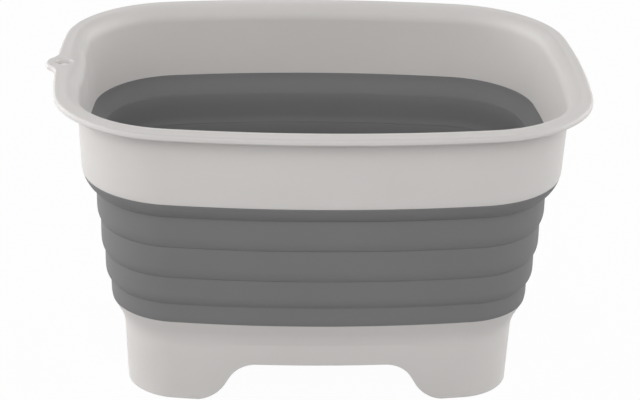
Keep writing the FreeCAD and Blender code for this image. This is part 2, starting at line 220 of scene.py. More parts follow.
def supported(points: np.ndarray, margin: float = 0.4, least: float = 3.0) -> np.ndarray:
    """A closed section with a point close to each end of its longer straight sides, which keeps them flat.

    Args:
        points: Section points.
        margin: Distance of the added points from the side's ends.
        least: Length from which a side gets them.

    Returns:
        The section with the added points.
    """
    after = np.roll(points, -1, axis=0)
    way = after - points
    length = np.linalg.norm(way, axis=1, keepdims=True)
    share = np.where(length > least, margin / np.maximum(length, margin), 0.0)
    near, far = points + way * share, after - way * share
    both = np.stack([points, near, far], axis=1)
    long = length[:, 0] > least
    keep = np.stack([np.ones(len(points), bool), long, long], axis=1)
    return both[keep]


def curve(start: float, radius: float, top: float, drops: np.ndarray) -> list[Corner]:
    """Points of an arc that starts upright at (start, top): inset = start + radius - sqrt(radius^2 - drop^2).

    Args:
        start: Inset where the arc is upright.
        radius: Radius of the arc.
        top: Height where the arc is upright.
        drops: Drops below that height.

    Returns:
        Section corners without rounding.
    """
    inset = start + radius - np.sqrt(radius**2 - drops**2)
    return [(float(i), float(top - d), 0.0) for i, d in zip(inset, drops)]


def curl_radius(drop: float, inset: float) -> float:
    """Radius of an arc that starts upright and moves in by inset over drop: (drop^2 + inset^2) / 2 inset."""
    return (drop**2 + inset**2) / (2 * inset)


def eased(share: np.ndarray) -> np.ndarray:
    """Shares held to 0 to 1 and eased at both ends: 3 s^2 - 2 s^3."""
    held = np.clip(share, 0, 1)
    return held * held * (3 - 2 * held)


def part_between(section: np.ndarray, first: Spot, last: Spot) -> np.ndarray:
    """The part of a closed section that runs from one of its points to another.

    Args:
        section: Section points.
        first: Where the part starts.
        last: Where it ends.

    Returns:
        The points of that part, both ends included.
    """
    start = int(np.argmin(np.abs(section - first).sum(axis=1)))
    turned_section = np.roll(section, -start, axis=0)
    end = int(np.argmin(np.abs(turned_section - last).sum(axis=1)))
    return turned_section[:end + 1]


# Meshes

FACE_ROWS = (0.96, 0.5, 0.0)


def grid_faces(columns: int, rows: int, first: int = 0) -> np.ndarray:
    """Quads of a grid that closes both ways: corners (i, j), (i + 1, j), (i + 1, j + 1) and (i, j + 1).

    Args:
        columns: Number of columns.
        rows: Number of rows.
        first: Index of the grid's first vertex.

    Returns:
        Vertex indices of shape (columns * rows, 4).
    """
    i, j = np.meshgrid(np.arange(columns), np.arange(rows), indexing="ij")
    after_i, after_j = (i + 1) % columns, (j + 1) % rows
    quads = [i * rows + j, after_i * rows + j, after_i * rows + after_j, i * rows + after_j]
    return np.stack([q.ravel() for q in quads], axis=-1) + first


def grid_object(name: str, *grids: np.ndarray) -> bpy.types.Object:
    """One smooth object from grids of points in millimetres.

    Args:
        name: Object name.
        grids: Arrays of shape (columns, rows, 3), each closed both ways.

    Returns:
        The object, its normals facing outwards and doubled points merged.
    """
    points = np.concatenate([g.reshape(-1, 3) for g in grids]) * MM
    starts = np.cumsum([0] + [g.shape[0] * g.shape[1] for g in grids])
    faces = np.concatenate([grid_faces(g.shape[0], g.shape[1], int(s)) for g, s in zip(grids, starts)])
    mesh = bpy.data.meshes.new(name)
    mesh.from_pydata(points, [], faces)
    work = bmesh.new()
    work.from_mesh(mesh)
    bmesh.ops.remove_doubles(work, verts=work.verts, dist=MERGE_DISTANCE)
    bmesh.ops.recalc_face_normals(work, faces=work.faces)
    work.to_mesh(mesh)
    work.free()
    mesh.shade_smooth()
    thing = bpy.data.objects.new(name, mesh)
    bpy.context.collection.objects.link(thing)
    return thing


def swept(stations: Stations, section: np.ndarray) -> np.ndarray:
    """Grid of a section carried round the outline.

    Args:
        stations: Places round the outline.
        section: Rows of inset and height.

    Returns:
        Points of shape (stations, section points, 3).
    """
    plan = stations.at(section[:, 0])
    height = np.broadcast_to(section[:, 1], plan.shape[:2])
    return np.concatenate([plan, height[..., None]], axis=-1)


def turned(section: np.ndarray, columns: int) -> np.ndarray:
    """Grid of a section of (radius, height) turned about the upright axis.

    Args:
        section: Rows of radius and height.
        columns: Number of places round the axis.

    Returns:
        Points of shape (columns, section points, 3).
    """
    angle = np.linspace(0, 2 * math.pi, columns, endpoint=False)[:, None]
    radius, height = section[None, :, 0], np.broadcast_to(section[None, :, 1], (columns, len(section)))
    return np.stack([radius * np.cos(angle), radius * np.sin(angle), height], axis=-1)


def pillow(edge: np.ndarray, thickness: float, round_off: float, steps: int = 6) -> np.ndarray:
    """Grid of a slab with rounded edges: a convex outline in X and Z, shrunk towards its middle.

    Row by row the outline comes in by round_off * (1 - cos t) while Y runs by round_off * sin t round the
    edge, and then shrinks to the middle over both flat faces.

    Args:
        edge: Outline points in X and Z.
        thickness: Thickness along Y.
        round_off: Radius of the rounded edges.
        steps: Rows on each rounding.

    Returns:
        Points of shape (outline points, rows, 3).
    """
    middle = (edge.max(axis=0) + edge.min(axis=0)) / 2
    ahead = np.roll(edge, -1, axis=0) - np.roll(edge, 1, axis=0)
    normal = np.stack([ahead[:, 1], -ahead[:, 0]], axis=-1)
    normal /= np.linalg.norm(normal, axis=1, keepdims=True)
    normal *= np.sign(np.sum(normal * (edge - middle), axis=1).mean())
    t = np.linspace(0, math.pi / 2, steps)
    come_in = round_off * (1 - np.cos(t))
    across = thickness / 2 - round_off + round_off * np.sin(t)
    rows_in = np.concatenate([come_in[::-1], come_in])
    rows_y = np.concatenate([-across[::-1], across])
    rim = edge[:, None, :] - normal[:, None, :] * rows_in[None, :, None]
    shrink = np.array(FACE_ROWS)
    face = middle + (rim[:, -1:, :] - middle) * shrink[None, :, None]
    plan = np.concatenate([face[:, ::-1], rim, face], axis=1)
    y = np.concatenate([np.full(len(shrink), -thickness / 2), rows_y, np.full(len(shrink), thickness / 2)])
    return np.stack([plan[..., 0], np.broadcast_to(y, plan.shape[:2]), plan[..., 1]], axis=-1)


# Finishes


def to_linear(colour: Sequence[float]) -> tuple[float, float, float, float]:
    """Display colour of 0 to 255 as scene-linear red, green, blue and alpha."""
    part = np.array(colour, float) / 255
    line = np.where(part <= 0.04045, part / 12.92, ((part + 0.055) / 1.055) ** 2.4)
    return (float(line[0]), float(line[1]), float(line[2]), 1.0)


@dataclass(frozen=True)
class MouldedFinish:
    """Moulded surface: a colour that drifts slightly, fine grain and uneven gloss.

    Attributes:
        name: Material name.
        colour: Display colour.
        drift: Display colour that the surface drifts towards in broad patches.
        roughness: Least and greatest roughness.
        grain_per_metre: Scale of the fine grain.
        grain_depth: Depth of the grain in metres.
        flow_per_metre: Scale of the broad patches.
        specular: Strength of the reflection.
        speck_share: How much of the fine grain shows in the colour.
        drift_range: Where the drift starts and where it is full.
        grain_detail: Detail of the fine grain.
        flow_detail: Detail of the broad patches.
    """

    name: str
    colour: tuple[float, float, float]
    drift: tuple[float, float, float]
    roughness: tuple[float, float]
    grain_per_metre: float
    grain_depth: float
    flow_per_metre: float
    specular: float = 0.5
    speck_share: float = 0.25
    drift_range: tuple[float, float] = (0.35, 0.95)
    grain_detail: float = 3.0
    flow_detail: float = 4.0

    def material(self) -> bpy.types.Material:
        """The finish as a node material that reads the object's own coordinates."""
        made = bpy.data.materials.get(self.name)
        if made is not None:
            return made
        made = bpy.data.materials.new(self.name)
        made.use_nodes = True
        tree = made.node_tree
        link = tree.links.new
        shader = next(n for n in tree.nodes if n.type == "BSDF_PRINCIPLED")
        shader.inputs["Specular IOR Level"].default_value = self.specular
        place = tree.nodes.new("ShaderNodeTexCoord")
        grain = self.noise(tree, place, self.grain_per_metre, self.grain_detail)
        flow = self.noise(tree, place, self.flow_per_metre, self.flow_detail)
        blend = tree.nodes.new("ShaderNodeMath")
        blend.operation = "MULTIPLY_ADD"
        blend.inputs[1].default_value = self.speck_share
        link(grain.outputs["Fac"], blend.inputs[0])
        link(flow.outputs["Fac"], blend.inputs[2])
        ramp = tree.nodes.new("ShaderNodeValToRGB")
        stops = zip(ramp.color_ramp.elements, self.drift_range, (self.colour, self.drift))
        for stop, position, colour in stops:
            stop.position = position
            stop.color = to_linear(colour)
        link(blend.outputs[0], ramp.inputs["Fac"])
        link(ramp.outputs["Color"], shader.inputs["Base Color"])
        gloss = tree.nodes.new("ShaderNodeMapRange")
        gloss.inputs["To Min"].default_value = self.roughness[0]
        gloss.inputs["To Max"].default_value = self.roughness[1]
        link(flow.outputs["Fac"], gloss.inputs["Value"])
        link(gloss.outputs["Result"], shader.inputs["Roughness"])
        bump = tree.nodes.new("ShaderNodeBump")
        bump.inputs["Distance"].default_value = self.grain_depth
        link(grain.outputs["Fac"], bump.inputs["Height"])
        link(bump.outputs["Normal"], shader.inputs["Normal"])
        return made

    @staticmethod
    def noise(tree: bpy.types.NodeTree, place: bpy.types.Node, scale: float, detail: float) -> bpy.types.Node:
        """Noise node on object coordinates.

        Args:
            tree: Node tree to add to.
            place: Texture coordinate node.
            scale: Noise scale per metre.
            detail: Noise detail.

        Returns:
            The noise node.
        """
        node = tree.nodes.new("ShaderNodeTexNoise")
        node.inputs["Scale"].default_value = scale
        node.inputs["Detail"].default_value = detail
        tree.links.new(place.outputs["Object"], node.inputs["Vector"])
        return node


LIGHT_PLASTIC = MouldedFinish(
    "light_grey_plastic", colour=(201, 198, 196), drift=(205, 202, 200), roughness=(0.5, 0.6),
    grain_per_metre=2600.0, grain_depth=0.000012, flow_per_metre=9.0, specular=0.3)
DARK_RUBBER = MouldedFinish(
    "dark_grey_rubber", colour=(111, 111, 111), drift=(115, 115, 116), roughness=(0.6, 0.72),
    grain_per_metre=3200.0, grain_depth=0.000016, flow_per_metre=11.0, specular=0.25)
SEAL_RUBBER = MouldedFinish(
    "seal_rubber", colour=(88, 88, 89), drift=(94, 94, 95), roughness=(0.45, 0.6),
    grain_per_metre=3600.0, grain_depth=0.000014, flow_per_metre=16.0, specular=0.4)


def dress(thing: bpy.types.Object, finish: MouldedFinish, body: Body, slot: Slot, *nodes: str) -> None:
    """Gives a piece its finish and body, and hides the nodes that it stands for.

    Args:
        thing: The piece.
        finish: Its finish.
        body: Body that it moves with.
        slot: Not used.
        nodes: Nodes that it replaces.
    """
    thing.data.materials.clear()
    thing.data.materials.append(finish.material())
    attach(thing, body.value)
    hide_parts(*nodes)
    LOG.info("%s: %d points, rides on %s", thing.name, len(thing.data.vertices), body.value)


# Sub-assemblies


@dataclass
class SoftWall:
    """Stepped soft wall: a cuff under the rim, three loose bands and a cuff on the base."""

    outline: Outline
    columns: int = 560
    wall: float = 1.5
    flare: float = 0.02
    round_drop: float = 9.5
    tuck: float = 2.6
    hinge_overlap: float = 0.03
    edge_round: float = 0.3
    arc_stop: float = 0.3
    shoulder_stop: float = 0.35
    least_fall: float = 0.1
    bond_gap: float = 0.05
    top_wall: float = 0.75
    top_taper: float = 8.0
    insets: tuple[float, float, float, float] = (28.7, 31.3, 34.0, 37.9)
    creases: tuple[float, float, float, float] = (152.9, 128.8, 104.3, 81.8)
    shoulder_inset: float = 18.4
    shoulder_height: float = 171.8
    shoulder_wall: float = 2.4
    rim_edge_height: float = 166.2
    rim_lap: float = 3.6
    collar_inset: float = 38.6
    base_height: float = 67.3
    cuff_round_drop: float = 5.8
    arc_steps: int = 12

    def shoulder_radius(self) -> float:
        """Radius of the shoulder's outer arc."""
        reach = self.insets[0] + self.hinge_overlap - self.shoulder_inset
        return curl_radius(self.shoulder_height - self.creases[0], reach)

    def upper_section(self) -> np.ndarray:
        """Section of the upper cuff: outer arc down to the crease, lip, inner arc up to the lap."""
        radius, wall = self.shoulder_radius(), self.shoulder_wall
        start, top = self.shoulder_inset, self.shoulder_height
        low = top - self.rim_edge_height + self.bond_gap
        high = top - self.rim_edge_height - self.rim_lap + self.bond_gap
        end = self.insets[0] + self.hinge_overlap
        inner_end = math.sqrt((radius - wall) ** 2 - (radius - end + start) ** 2)
        drop = top - self.creases[0]
        half = wall / 2 + self.bond_gap
        outer = curve(start, radius, top, np.linspace(low, drop - self.shoulder_stop, self.arc_steps))
        inner = curve(start + wall, radius - wall, top,
                      np.linspace(inner_end - self.arc_stop, high, self.arc_steps))
        lap = curve(start + half, radius - half, top, np.array([high, low]))
        lip = [(end, self.creases[0], self.edge_round), (end, top - inner_end, self.edge_round)]
        return rounded([*outer, *lip, *inner, *lap])

    def thinned(self, face: list[Corner], top: float) -> list[Corner]:
        """Draws an inner face outwards by (wall - top_wall) * t^2, t running from 0 to 1 at the top edge.

        Args:
            face: Points of the inner face.
            top: Height of the top edge.

        Returns:
            The points, drawn outwards near the top.
        """
        rows = np.array(face)
        t = np.clip((rows[:, 1] - top + self.top_taper) / self.top_taper, 0, 1)
        rows[:, 0] -= (self.wall - self.top_wall) * t**2
        return [(float(i), float(z), float(r)) for i, z, r in rows]

    def upper_faces(self, inset: float, bulge: float, top: float) -> tuple[list[Corner], list[Corner]]:
        """Outer and inner face of a ring from its bulge up to its top edge, as arcs upright at the bulge.

        Args:
            inset: Inset of the outer face at the bulge.
            bulge: Height of the bulge.
            top: Height of the top edge.

        Returns:
            Both faces from the bulge upwards, the inner one thinned towards the top.
        """
        radius = curl_radius(top - bulge, self.flare)
        climb = np.linspace(0, top - bulge, self.arc_steps)
        starts = ((inset, radius), (inset + self.wall, radius - self.wall))
        outer, inner = ([(i, 2 * bulge - z, 0.0) for i, z, _ in curve(start, bend, bulge, climb)]
                        for start, bend in starts)
        inner = self.thinned(inner, top)
        outer[-1] = (*outer[-1][:2], self.edge_round)
        inner[-1] = (*inner[-1][:2], self.edge_round)
        return outer, inner

    def band_section(self, number: int) -> np.ndarray:
        """Section of a loose band: outer face, rounding to the lip, and the inner face.

        Args:
            number: Index of the band from the top.

        Returns:
            Section points.
        """
        inset, crease = self.insets[number], self.creases[number + 1]
        top = self.creases[number] + self.tuck
        bulge = crease + self.round_drop
        end = self.insets[number + 1] + self.hinge_overlap
        step = end - inset
        curl = curl_radius(self.round_drop, step)
        lip = bulge - math.sqrt((curl - self.wall) ** 2 - (curl - step) ** 2)
        up, up_inner = self.upper_faces(inset, bulge, top)
        down = curve(inset, curl, bulge, np.linspace(0, self.round_drop - self.arc_stop, self.arc_steps))
        inner_fall = max(bulge - lip - self.arc_stop, self.least_fall)
        down_inner = curve(inset + self.wall, curl - self.wall, bulge,
                           np.linspace(0, inner_fall, self.arc_steps))
        lips = [(end, crease, self.edge_round), (end, lip, self.edge_round)]
        return rounded([*up[::-1], *down[1:], *lips, *down_inner[::-1], *up_inner[1:]])

    def lower_section(self) -> np.ndarray:
        """Section of the lower cuff: outer face, rounding to the base's collar, and the inner face."""
        inset = self.insets[-1]
        top = self.creases[-1] + self.tuck
        bulge = self.base_height + self.cuff_round_drop
        curl = curl_radius(self.cuff_round_drop, self.collar_inset - inset)
        up, up_inner = self.upper_faces(inset, bulge, top)
        fall = np.linspace(0, self.cuff_round_drop, self.arc_steps)
        down = curve(inset, curl, bulge, fall)
        down_inner = curve(inset + self.wall, curl - self.wall, bulge, fall)
        return rounded([*up[::-1], *down[1:], *down_inner[::-1], *up_inner[1:]])

    def build(self) -> None:
        """Builds and dresses the five rings of the wall."""
        stations = self.outline.stations(self.columns)
        rings = [
            ("upper_cuff", Body.RIM, self.upper_section()),
            ("wall_band_1", Body.BAND_1, self.band_section(0)),
            ("wall_band_2", Body.BAND_2, self.band_section(1)),
            ("wall_band_3", Body.BAND_3, self.band_section(2)),
            ("lower_cuff", Body.BASE, self.lower_section()),
        ]
        for node, body, section in rings:
            thing = grid_object(f"{node}_skin", swept(stations, section))
            dress(thing, DARK_RUBBER, body, Slot.WALL, node)


@dataclass
class RimFrame:
    """Rigid rim: tapered wall, rolled flange with a lip, and a tab with a hang hole.

    Pairs give where a change starts and ends: tab_fade across the flange, tab_clear and pad_half along the
    edge. tab_fine is the reach and spacing of the close stations about the tab, tab_at its share of the way
    round, and arc_steps the points on the outer face, the inner face and each corner.
    """

    outline: Outline
    wall: SoftWall
    columns: int = 560
    height: float = 225.0
    thickness: float = 2.4
    top_inset: float = 16.1
    flange_thickness: float = 2.6
    lip_height: float = 4.4
    edge_sink: float = 0.3
    edge_land: float = 4.5
    edge_slope: float = 4.5
    edge_ease: float = 5.0
    lip_thickness: float = 3.0
    lip_round: float = 2.2
    lip_foot_round: float = 0.8
    lip_inside_round: float = 0.7
    inner_round: float = 11.0
    inner_inset: float = 20.5
    side_ease: float = 2.4
    side_fade: float = 33.0
    under_round: float = 3.0
    edge_round: float = 0.3
    arc_steps: tuple[int, int, int] = (6, 4, 9)
    tab_at: float = 0.5
    tab_reach: float = 7.4
    tab_blend: float = 20.0
    tab_sink: float = 0.4
    tab_depth: float = 8.0
    tab_fade: tuple[float, float] = (4.0, 15.0)
    tab_clear: tuple[float, float] = (14.0, 38.0)
    tab_fine: tuple[float, float] = (32.0, 0.6)
    pad_share: float = 0.92
    pad_half: tuple[float, float] = (12.0, 17.0)
    pad_start: float = 2.0
    snap: float = 0.01
    facing: float = 0.9
    hole_inset: float = 6.0
    hole_radius: float = 6.0
    hole_round: float = 0.9
    hole_steps: int = 7
    hole_columns: int = 72
    hole_overrun: float = 2.0

    def section(self) -> np.ndarray:
        """Section of the rim, from the lip over the flange and down the inner wall to the lap and back up."""
        foot, top = self.wall.shoulder_inset, self.wall.shoulder_height
        radius = self.wall.shoulder_radius()
        low = top - self.wall.rim_edge_height
        high = low - self.wall.rim_lap
        half = self.thickness / 2
        outer_steps, inner_steps, corner_steps = self.arc_steps
        outer = curve(foot, radius, top, np.linspace(low, 0, outer_steps))
        inner = curve(foot + self.thickness, radius - self.thickness, top, np.linspace(0, high, inner_steps))
        lap = curve(foot + half, radius - half, top, np.array([high, low]))
        inner[-1] = (*inner[-1][:2], self.edge_round)
        outer[0] = (*outer[0][:2], self.edge_round)
        under = self.height - self.flange_thickness
        lip = self.height - self.lip_height
        return rounded([
            (0.0, lip, self.lip_foot_round),
            (0.0, self.height - self.edge_sink, self.lip_round),
            (self.edge_land, self.height - self.edge_sink, self.edge_ease),
            (self.edge_land + self.edge_slope, self.height, self.edge_ease),
            (self.inner_inset, self.height, self.inner_round),
            *inner,
            *lap,
            *outer,
            (self.top_inset, under, self.under_round),
            (self.lip_thickness, under, self.lip_foot_round),
            (self.lip_thickness, lip, self.lip_inside_round),
        ], steps=corner_steps)

    def tab_bump(self, away: np.ndarray) -> np.ndarray:
        """How far the tab stands out past the edge at a distance from its middle.

        The lobe is a circle about the hang hole's middle, joined to the edge by arcs tangent to both.

        Args:
            away: Distances along the edge, to either side.

        Returns:
            Distances past the edge.
        """
        lobe = self.tab_reach + self.hole_inset
        run = self.hole_inset + self.tab_blend - self.tab_sink
        reach = lobe + self.tab_blend
        aside = math.sqrt(reach**2 - run**2)
        meet = lobe * aside / reach
        over = np.sqrt(np.maximum(lobe**2 - away**2, 0)) - self.hole_inset
        hollow = np.sqrt(np.maximum(self.tab_blend**2 - (away - aside) ** 2, 0))
        blend = self.tab_blend - self.tab_sink - hollow
        return np.maximum(np.where(away < meet, over, np.where(away < aside, blend, -self.tab_sink)), 0.0)

    def inner_share(self, section: np.ndarray) -> np.ndarray:
        """How far each row takes part where the inner wall stands closer to the edge on the short sides.

        Args:
            section: Section points, the first half running over the flange and down the inner wall.

        Returns:
            One at the inner rounding, fading to zero towards the edge and down the wall.
        """
        inner = np.arange(len(section)) < int(np.argmin(section[:, 1]))
        across = eased((section[:, 0] - self.edge_land) / self.inner_round)
        down = eased((section[:, 1] - self.wall.shoulder_height) / self.side_fade)
        return inner * across * down

    def build(self) -> None:
        """Builds the rim, draws the tab out of its edge, bores the hang hole and dresses it.

        At the tab the flange's rows move out by the tab's bump, fading inwards, and the rows under it move
        down towards the lip. On the short sides the inner wall moves out by side_ease * outward_x^2.
        """
        stations = self.outline.stations(self.columns, self.tab_at, *self.tab_fine)
        section = self.section()
        row_inset, row_height = section[:, 0], section[:, 1]
        edge = stations.at(np.zeros(1))[:, 0]
        away = np.abs(edge[:, 1])
        near = (stations.centre[:, 0] > 0) & (stations.outward[:, 0] < -self.facing)
        bump = np.where(near, self.tab_bump(away), 0.0)
        full, none = self.tab_fade
        share = eased((none - row_inset) / (none - full)) * (row_height > self.height - self.tab_depth)
        start, end = self.tab_clear
        clear = eased(np.where(near, (away - start) / (end - start), 1.0))
        ease = self.side_ease * stations.outward[:, 0] ** 2 * clear
        inset = row_inset - bump[:, None] * share - ease[:, None] * self.inner_share(section)
        plan = stations.at(inset)
        full, none = self.pad_half
        span = eased((none - away) / (none - full)) * near
        lip, under = self.height - self.lip_height, self.height - self.flange_thickness
        beneath = (row_inset > self.pad_start) & (row_inset < self.top_inset)
        beneath &= row_height < under + self.snap
        lower = np.where(beneath, np.clip(row_height - lip, 0, None), 0.0) * self.pad_share
        height = row_height - span[:, None] * lower
        thing = grid_object("rim_frame_skin", np.concatenate([plan, height[..., None]], axis=-1))
        self.bore(thing)
        dress(thing, LIGHT_PLASTIC, Body.RIM, Slot.RIM, "rim_frame")

    def bore(self, thing: bpy.types.Object) -> None:
        """Cuts the hang hole with a turned cutter whose ends flare by hole_round * (1 - cos t).

        Args:
            thing: The rim, changed in place.
        """
        t = np.linspace(0, math.pi / 2, self.hole_steps)
        flare = self.hole_radius + self.hole_round * (1 - np.cos(t))
        rise = self.hole_round * np.sin(t)
        top, low, over = self.height, self.height - self.lip_height, self.hole_overrun
        radius = np.concatenate([[0.0], [flare[-1]], flare[::-1], flare, [flare[-1]], [0.0]])
        height = np.concatenate([[low - over], [low - over], low + self.hole_round - rise[::-1],
                                 top - self.hole_round + rise, [top + over], [top + over]])
        grid = turned(np.stack([radius, height], axis=-1), self.hole_columns)
        grid[..., 0] += self.hole_inset - self.outline.half_length
        cutter = grid_object("hang_hole_cutter", grid)
        cut = thing.modifiers.new("hang_hole", "BOOLEAN")
        cut.operation = "DIFFERENCE"
        cut.solver = "EXACT"
        cut.object = cutter
        view = bpy.context.evaluated_depsgraph_get()
        done = bpy.data.meshes.new_from_object(thing.evaluated_get(view))
        thing.modifiers.clear()
        old = thing.data
        thing.data = done
        done.name = thing.name
        bpy.data.meshes.remove(old)
        bpy.data.objects.remove(cutter)


@dataclass
class BaseTray:
    """Rigid base: collar, tray wall, floor with a drain, and a skirt cut into four feet."""

    outline: Outline
    wall: SoftWall
    columns: int = 640
    thickness: float = 2.4
    skirt_top_inset: float = 47.2
    skirt_top_height: float = 51.5
    collar_round: float = 34.0
    foot_inset: float = 49.2
    tongue_thickness: float = 1.4
    tongue_height: float = 4.8
    floor_height: float = 38.4
    floor_thickness: float = 2.4
    floor_round: float = 8.0
    floor_run: float = 4.0
    under_round: float = 1.5
    land_round: float = 0.2
    tongue_rounds: tuple[float, float] = (0.4, 0.6)
    cone_round: float = 1.5
    inner_round: float = 5.0
    skirt_clear: float = 3.0
    floor_clear: float = 1.6
    arch_height: float = 30.9
    long_arch_half: float = 46.3
    short_arch_half: float = 16.0
    arch_top_radius: float = 22.3
    arch_foot_radius: float = 28.0
    arch_slope: float = math.radians(60)
    arch_overrun: float = 0.6
    drain_radius: float = 20.0
    drain_round: float = 1.0
    drain_run: float = 14.0
    spigot_wall: float = 3.5
    spigot_depth: float = 8.0
    spigot_round: float = 0.5
    neck_round: float = 1.5
    edge_round: float = 0.6

    @property
    def under(self) -> float:
        """Height of the floor's underside."""
        return self.floor_height - self.floor_thickness

    @property
    def draft(self) -> float:
        """How far the skirt comes in for each millimetre that it falls."""
        return (self.foot_inset - self.skirt_top_inset) / self.skirt_top_height

    def arch(self, across: np.ndarray, half: float) -> np.ndarray:
        """Height of an arch at a distance from its middle: flat top, round, straight slope, round foot.

        Args:
            across: Distances from the middle.
            half: Half width of the flat top.

        Returns:
            Heights, zero beyond the arch.
        """
        away = np.abs(across)
        top, foot, slope = self.arch_top_radius, self.arch_foot_radius, self.arch_slope
        fall = top * (1 - math.cos(slope))
        rise = foot * (1 - math.cos(slope))
        bend = half + top * math.sin(slope)
        turn = bend + (self.arch_height + self.arch_overrun - fall - rise) / math.tan(slope)
        end = turn + foot * math.sin(slope)
        crown = self.arch_height - top + np.sqrt(np.maximum(top**2 - (away - half) ** 2, 0))
        line = self.arch_height - fall - (away - bend) * math.tan(slope)
        heel = foot - self.arch_overrun - np.sqrt(np.maximum(foot**2 - (end - away) ** 2, 0))
        height = np.select([away < half, away < bend, away < turn, away < end],
                           [np.full_like(away, self.arch_height), crown, line, heel], 0.0)
        return np.maximum(height, 0.0)

    def rows(self) -> tuple[np.ndarray, np.ndarray, np.ndarray, np.ndarray]:
        """Rows of the section: inset and height of swept rows, radius of turned rows and share of turning."""
        wall, under = self.wall, self.under
        lean = (self.skirt_top_inset - wall.collar_inset) / (wall.base_height - self.skirt_top_height)
        cone = self.thickness * math.hypot(1, lean)
        land = wall.base_height - wall.bond_gap
        curl = curl_radius(wall.cuff_round_drop, wall.collar_inset - wall.insets[-1]) - wall.wall
        foot_in = curve(wall.insets[-1] + wall.wall, curl, land, np.array([wall.cuff_round_drop]))[0][0]
        tongue_out = foot_in + wall.bond_gap
        tongue_in = tongue_out + self.tongue_thickness
        inner = self.skirt_top_inset + self.thickness
        floor_edge = inner + self.floor_round + self.floor_run
        under_in = inner + self.draft * (self.skirt_top_height - under)
        upper = rounded([
            (floor_edge, under, 0.0),
            (under_in, under, self.under_round),
            (self.foot_inset + self.thickness, 0.0, self.edge_round),
            (self.foot_inset, 0.0, self.edge_round),
            (self.skirt_top_inset, self.skirt_top_height, self.collar_round),
            (wall.collar_inset, land, self.land_round),
            (tongue_out, land, 0.0),
            (tongue_out, land + self.tongue_height, self.tongue_rounds[0]),
            (tongue_in, land + self.tongue_height, self.tongue_rounds[1]),
            (tongue_in, land - (tongue_in - cone - wall.collar_inset) / lean, self.cone_round),
            (inner, land - (inner - cone - wall.collar_inset) / lean, self.inner_round),
            (inner, self.floor_height, self.floor_round),
            (floor_edge, self.floor_height, 0.0),
        ], steps=9)
        upper = part_between(upper, (floor_edge, under), (floor_edge, self.floor_height))
        drain, spigot = self.drain_radius, self.drain_radius + self.spigot_wall
        reach, end = spigot + self.drain_run, under - self.spigot_depth
        neck = rounded([
            (reach, self.floor_height, 0.0),
            (drain, self.floor_height, self.drain_round),
            (drain, end, self.spigot_round),
            (spigot, end, self.spigot_round),
            (spigot, under, self.neck_round),
            (reach, under, 0.0),
        ], steps=7)
        neck = part_between(neck, (reach, self.floor_height), (reach, under))
        inset = np.concatenate([upper[:, 0], np.full(len(neck), floor_edge)])
        height = np.concatenate([upper[:, 1], neck[:, 1]])
        radius = np.concatenate([np.zeros(len(upper)), neck[:, 0]])
        turning = np.concatenate([np.zeros(len(upper)), np.ones(len(neck))])
        return inset, height, radius, turning

    def build(self) -> None:
        """Builds the base and dresses it.

        Skirt rows follow the arches: a row at height z moves to z + (1 - z / top) * arch, and its inset
        follows the skirt's draft at its new height.
        """
        stations = self.outline.stations(self.columns)
        inset, height, radius, turning = self.rows()
        foot = stations.at(np.array([self.foot_inset + self.thickness / 2]))[:, 0]
        lift = np.maximum(self.arch(foot[:, 0], self.long_arch_half),
                          self.arch(foot[:, 1], self.short_arch_half))
        outside = inset < self.foot_inset + self.thickness / 2
        top = np.where(outside, self.skirt_top_height - self.skirt_clear, self.under - self.floor_clear)
        follow = np.clip(1 - height / top, 0, 1) * (turning == 0)
        moved = height + follow * lift[:, None]
        inset = inset - self.draft * follow * lift[:, None]
        plan = stations.at(inset)
        angle = np.arctan2(foot[:, 1], foot[:, 0])
        ring = np.stack([np.cos(angle), np.sin(angle)], axis=-1)
        plan = plan * (1 - turning)[None, :, None] + ring[:, None, :] * (radius * turning)[None, :, None]
        thing = grid_object("base_skin", np.concatenate([plan, moved[..., None]], axis=-1))
        dress(thing, LIGHT_PLASTIC, Body.BASE, Slot.BASE, "base_skirt", "base_floor")


